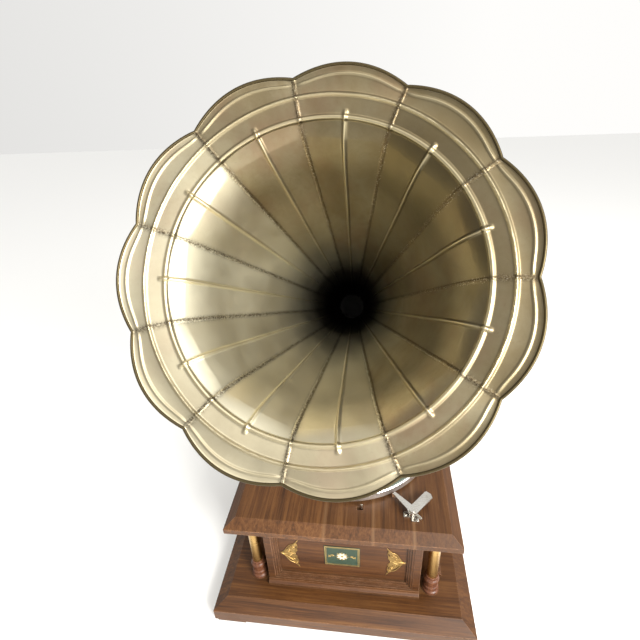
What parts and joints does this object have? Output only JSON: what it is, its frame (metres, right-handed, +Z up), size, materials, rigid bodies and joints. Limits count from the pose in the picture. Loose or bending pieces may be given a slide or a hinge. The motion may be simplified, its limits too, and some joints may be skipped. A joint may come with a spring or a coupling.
{
  "type": "wind-up phonograph",
  "caption": "Wind-up phonograph: panelled wooden cabinet with columns, spring motor, turntable, swinging tonearm and a gored brass flower horn on a swivelling elbow.",
  "frame": {"origin": "on the table, under the centre of the square plinth", "axes": "+X to the right seen from the front, +Y towards the back, +Z up; the plaque, brake and horn mouth face -Y"},
  "size_m": [0.5417, 0.5431, 0.8404],
  "materials": {
    "cabinet_wood": "stained hardwood, worn wax",
    "plinth_wood": "stained hardwood, worn wax",
    "board_wood": "stained planks, worn wax",
    "base_wood": "plain sawn",
    "column_wood": "turned and polished",
    "column_brass": "polished, aged",
    "ornament_brass": "stamped, aged",
    "inlay": "dark green with a gold border",
    "motor_iron": "black japanned",
    "motor_steel": "bright turned",
    "grommet_rubber": "soft",
    "escutcheon_brass": "polished, aged",
    "bracket_iron": "nickel plated, worn",
    "brake_nickel": "nickel plated, worn",
    "spindle_steel": "bright turned",
    "gear_brass": "machined",
    "platter_nickel": "nickel plated",
    "felt": "green baize",
    "arbor_steel": "bright turned",
    "barrel_steel": "machined",
    "spring_steel": "blued and greased",
    "governor_steel": "bright turned",
    "weight_brass": "machined",
    "lever_nickel": "nickel plated",
    "crank_nickel": "nickel plated, worn",
    "handle_wood": "turned and polished",
    "brake_leather": "worn",
    "arm_nickel": "nickel plated, worn",
    "mica": "thin mica sheet",
    "horn_brass": "aged sheet brass with dull patches",
    "collar_brass": "machined"
  },
  "bodies": {
    "cabinet": {"corner_feet": "cabinet_wood", "panel_frames": "cabinet_wood", "box_panels": "cabinet_wood", "corner_posts": "cabinet_wood", "box_mouldings": "cabinet_wood", "plinth_frame": "plinth_wood", "top_board": "board_wood", "base_board": "base_wood", "column_bases": "column_wood", "column_caps": "column_wood", "column_shafts": "column_brass", "panel_ornaments": "ornament_brass", "inlay_plaque": "inlay", "motor_top_plate": "motor_iron", "motor_bottom_plate": "motor_iron", "governor_brackets": "motor_iron", "shaft_bearing": "motor_iron", "motor_pillars": "motor_steel", "pillar_nuts": "motor_steel", "board_fasteners": "motor_steel", "bracket_screws": "motor_steel", "motor_grommets": "grommet_rubber", "crank_escutcheon": "escutcheon_brass", "back_bracket": "bracket_iron", "brake_base": "brake_nickel"},
    "turntable": {"turntable_spindle": "spindle_steel", "spindle_pinion": "gear_brass", "worm_wheel": "gear_brass", "platter": "platter_nickel", "platter_felt": "felt"},
    "intermediate": {"intermediate_wheel": "gear_brass", "intermediate_arbor": "arbor_steel"},
    "barrel": {"spring_barrel": "barrel_steel", "barrel_cover": "barrel_steel", "mainspring": "spring_steel"},
    "winding_arbor": {"barrel_arbor": "arbor_steel", "ratchet_wheel": "arbor_steel", "crown_wheel": "gear_brass"},
    "pawl": {"pawl": "arbor_steel"},
    "governor": {"governor_shaft": "governor_steel", "governor_disc": "governor_steel", "governor_weights": "weight_brass"},
    "speed_lever": {"speed_lever": "lever_nickel"},
    "crank": {"winding_shaft": "crank_nickel", "crank_arm": "crank_nickel"},
    "crank_handle": {"crank_handle": "handle_wood"},
    "brake": {"brake_lever": "brake_nickel", "brake_pad": "brake_leather"},
    "tonearm": {"tonearm_turret": "arm_nickel", "tonearm_tube": "arm_nickel"},
    "soundbox": {"gooseneck": "arm_nickel", "soundbox_body": "arm_nickel", "soundbox_diaphragm": "mica", "needle_bar": "arbor_steel", "needle": "arbor_steel"},
    "needle_screw": {"needle_screw": "arm_nickel"},
    "horn": {"horn_bell": "horn_brass", "horn_rim_wire": "horn_brass", "horn_elbow": "horn_brass", "horn_collar": "collar_brass"}
  },
  "joints": [
    {"name": "turntable_spin", "type": "hinge", "parent": "cabinet", "child": "turntable", "pos_m": [0, 0.0245, 0.2], "axis": [0, 0, 1], "continuous": true},
    {"name": "intermediate_spin", "type": "hinge", "parent": "cabinet", "child": "intermediate", "pos_m": [-0.0065, 0.07206, 0.145], "axis": [0, 0, 1], "continuous": true},
    {"name": "barrel_spin", "type": "hinge", "parent": "cabinet", "child": "barrel", "pos_m": [0.045, 0.0795, 0.16], "axis": [0, 0, 1], "continuous": true},
    {"name": "governor_spin", "type": "hinge", "parent": "cabinet", "child": "governor", "pos_m": [0.03, 0.0005, 0.165], "axis": [1, 0, 0], "continuous": true},
    {"name": "crank_turn", "type": "hinge", "parent": "cabinet", "child": "crank", "pos_m": [0.15, 0.0795, 0.12], "axis": [1, 0, 0], "continuous": true},
    {"name": "winding_arbor_turn", "type": "hinge", "parent": "cabinet", "child": "winding_arbor", "pos_m": [0.045, 0.0795, 0.14], "axis": [0, 0, 1], "continuous": true},
    {"name": "handle_spin", "type": "hinge", "parent": "crank", "child": "crank_handle", "pos_m": [0.22, 0.0795, 0.18], "axis": [1, 0, 0], "continuous": true},
    {"name": "pawl_turn", "type": "hinge", "parent": "cabinet", "child": "pawl", "pos_m": [0.063, 0.068, 0.109], "axis": [0, 0, 1], "range_deg": [-12, 0], "stiffness_Nm_per_rad": 0.01},
    {"name": "tonearm_swing", "type": "hinge", "parent": "cabinet", "child": "tonearm", "pos_m": [0, 0.242, 0.27], "axis": [0, 0, 1], "range_deg": [-29, 12]},
    {"name": "soundbox_turn", "type": "hinge", "parent": "tonearm", "child": "soundbox", "pos_m": [0.10844, 0.12571, 0.279], "axis": [0.682, -0.7314, 0], "range_deg": [0, 100]},
    {"name": "needle_screw_turn", "type": "hinge", "parent": "soundbox", "child": "needle_screw", "pos_m": [0.14689, 0.05662, 0.24764], "axis": [-0.7314, -0.682, 0], "range_deg": [-180, 180]},
    {"name": "brake_turn", "type": "hinge", "parent": "cabinet", "child": "brake", "pos_m": [0.111, -0.142, 0.23], "axis": [0, 0, 1], "range_deg": [0, 32]},
    {"name": "speed_lever_turn", "type": "hinge", "parent": "cabinet", "child": "speed_lever", "pos_m": [0.032, -0.076, 0.195], "axis": [0, 0, 1], "range_deg": [-5, 0]},
    {"name": "horn_swivel", "type": "hinge", "parent": "cabinet", "child": "horn", "pos_m": [0, 0.242, 0.32], "axis": [0, 0, 1], "range_deg": [-35, 35]}
  ],
  "couplings": [
    {"joint": "intermediate_spin", "follows": "turntable_spin", "ratio": -0.2},
    {"joint": "barrel_spin", "follows": "turntable_spin", "ratio": 0.036364},
    {"joint": "governor_spin", "follows": "turntable_spin", "ratio": 9},
    {"joint": "winding_arbor_turn", "follows": "crank_turn", "ratio": -0.38889}
  ]
}
